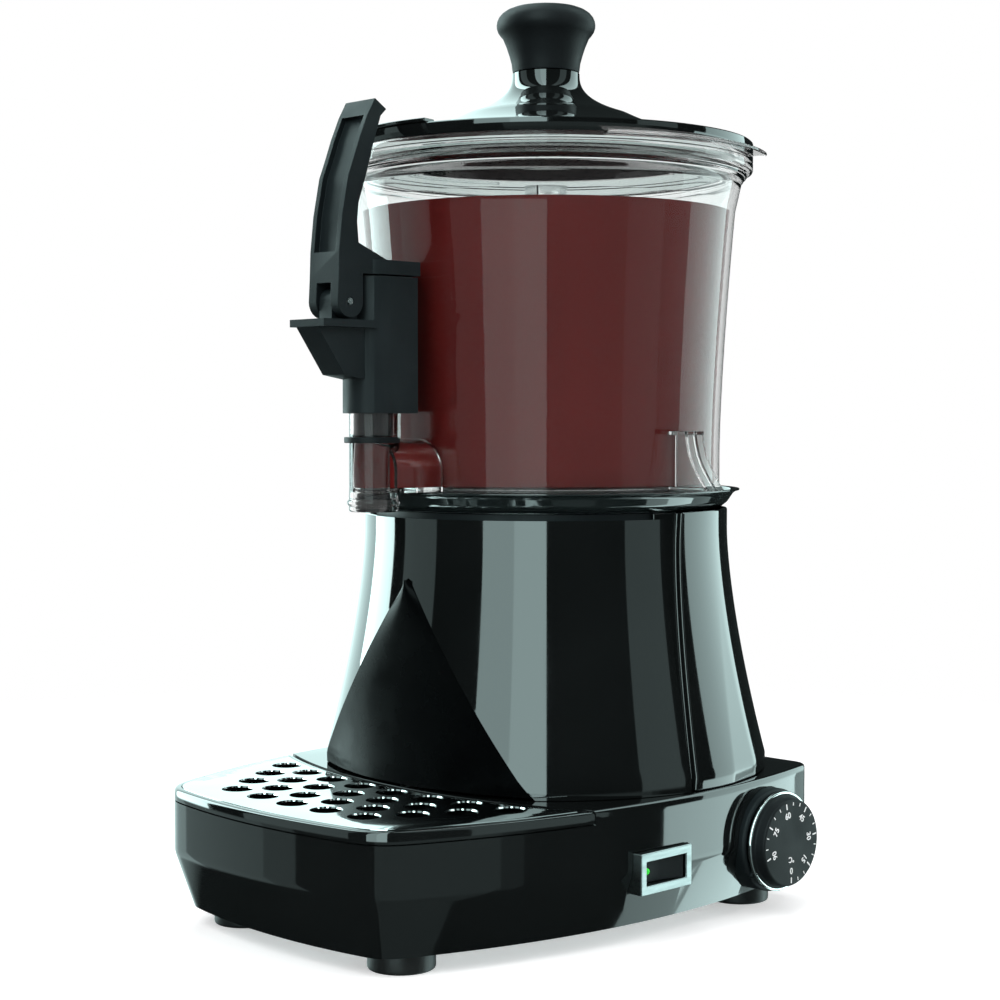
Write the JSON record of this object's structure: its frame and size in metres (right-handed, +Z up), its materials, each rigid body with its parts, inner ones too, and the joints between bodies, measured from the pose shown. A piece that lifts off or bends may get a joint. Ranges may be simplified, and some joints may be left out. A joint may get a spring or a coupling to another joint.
{
  "type": "hot chocolate dispenser machine",
  "caption": "Countertop hot chocolate dispenser with a clear bowl, a lever tap, a stirrer, a waisted black column and a base with a drip tray, thermostat dial and rocker switch.",
  "frame": {"origin": "middle of the footprint's bounding box, on the surface that it stands on", "axes": "+Z up, -Y towards the drip tray and the person served, +X towards the switch side"},
  "size_m": [0.2432, 0.298, 0.458],
  "materials": {
    "gloss_black": "polished black plastic with soft reflections",
    "matt_black": "fine grained matt black plastic",
    "polished_steel": "mirror polished stainless steel",
    "plain_steel": "satin stainless steel",
    "clear_plastic": "clear polycarbonate",
    "rubber": "black rubber",
    "brass": "turned bronze bush",
    "grey_plastic": "moulded grey plastic",
    "white_plastic": "off-white terminal block",
    "green_lens": "green lamp lens, lit"
  },
  "bodies": {
    "base": {"base_housing": "gloss_black", "base_plate": "plain_steel", "column_front_shell": "gloss_black", "column_back_shell": "gloss_black", "front_panel": "matt_black", "top_collar": "matt_black", "gutter_ring": "gloss_black", "heated_plate": "plain_steel", "centre_tube": "plain_steel", "bowl_gasket": "rubber", "water_tank": "plain_steel", "safety_cutout": "grey_plastic", "heating_element": "plain_steel", "motor_bracket": "plain_steel", "gear_motor": "plain_steel", "shaft_bush_lower": "brass", "shaft_bush_upper": "brass", "switch_frame": "plain_steel", "switch_body": "matt_black", "thermostat_bezel": "matt_black", "thermostat_body": "plain_steel", "cord_gland": "matt_black", "terminal_block": "white_plastic", "rubber_foot_front_left": "rubber", "rubber_foot_front_right": "rubber", "rubber_foot_back_left": "rubber", "rubber_foot_back_right": "rubber", "foot_screw_front_left": "plain_steel", "foot_screw_front_right": "plain_steel", "foot_screw_back_left": "plain_steel", "foot_screw_back_right": "plain_steel", "column_screw_front_left": "plain_steel", "column_screw_front_right": "plain_steel", "column_screw_back_left": "plain_steel", "column_screw_back_right": "plain_steel", "motor_screw_first": "plain_steel", "motor_screw_second": "plain_steel", "motor_screw_third": "plain_steel"},
    "tray": {"drip_tray": "gloss_black"},
    "grille": {"drip_grille": "polished_steel"},
    "bowl": {"bowl": "clear_plastic", "tap_housing": "matt_black", "tube_ring": "matt_black", "tap_spring": "plain_steel"},
    "lever": {"tap_lever": "matt_black", "lever_pin": "plain_steel"},
    "piston": {"tap_piston": "matt_black", "piston_cross_pin": "plain_steel", "piston_oring": "rubber"},
    "lid": {"lid": "gloss_black", "lid_knob": "matt_black", "knob_screw": "plain_steel"},
    "stirrer": {"drive_shaft": "plain_steel", "stirrer": "polished_steel"},
    "rocker": {"switch_rocker": "matt_black", "switch_lamp": "green_lens"},
    "dial": {"thermostat_knob": "matt_black", "knob_ring": "polished_steel", "thermostat_spindle": "plain_steel"}
  },
  "joints": [
    {"name": "tray_lift", "type": "slide", "parent": "base", "child": "tray", "axis": [0, 0, 1], "range_m": [0, 0.05]},
    {"name": "grille_lift", "type": "slide", "parent": "tray", "child": "grille", "axis": [0, 0, 1], "range_m": [0, 0.03]},
    {"name": "bowl_lift", "type": "slide", "parent": "base", "child": "bowl", "axis": [0, 0, 1], "range_m": [0, 0.06]},
    {"name": "lid_lift", "type": "slide", "parent": "bowl", "child": "lid", "axis": [0, 0, 1], "range_m": [0, 0.05]},
    {"name": "tap_lever_hinge", "type": "hinge", "parent": "bowl", "child": "lever", "pos_m": [-0.0056, -0.09755, 0.301], "axis": [1, 0, 0], "range_deg": [0, 22], "stiffness_Nm_per_rad": 1},
    {"name": "piston_slide", "type": "slide", "parent": "bowl", "child": "piston", "axis": [0, 0, 1], "range_m": [0, 0.0106], "deforming": ["tap_spring"]},
    {"name": "stirrer_spin", "type": "hinge", "parent": "base", "child": "stirrer", "pos_m": [-0.0056, 0.04295, 0.2145], "axis": [0, 0, 1], "continuous": true},
    {"name": "switch_rocker_hinge", "type": "hinge", "parent": "base", "child": "rocker", "pos_m": [0.1066, 0.0029, 0.03625], "axis": [0, 0, 1], "range_deg": [0, 18]},
    {"name": "thermostat_dial_hinge", "type": "hinge", "parent": "base", "child": "dial", "pos_m": [0.1126, 0.08645, 0.0378], "axis": [1, 0, 0], "range_deg": [0, 290]}
  ],
  "couplings": [
    {"joint": "piston_slide", "follows": "tap_lever_hinge", "m_per_rad": 0.0275}
  ]
}
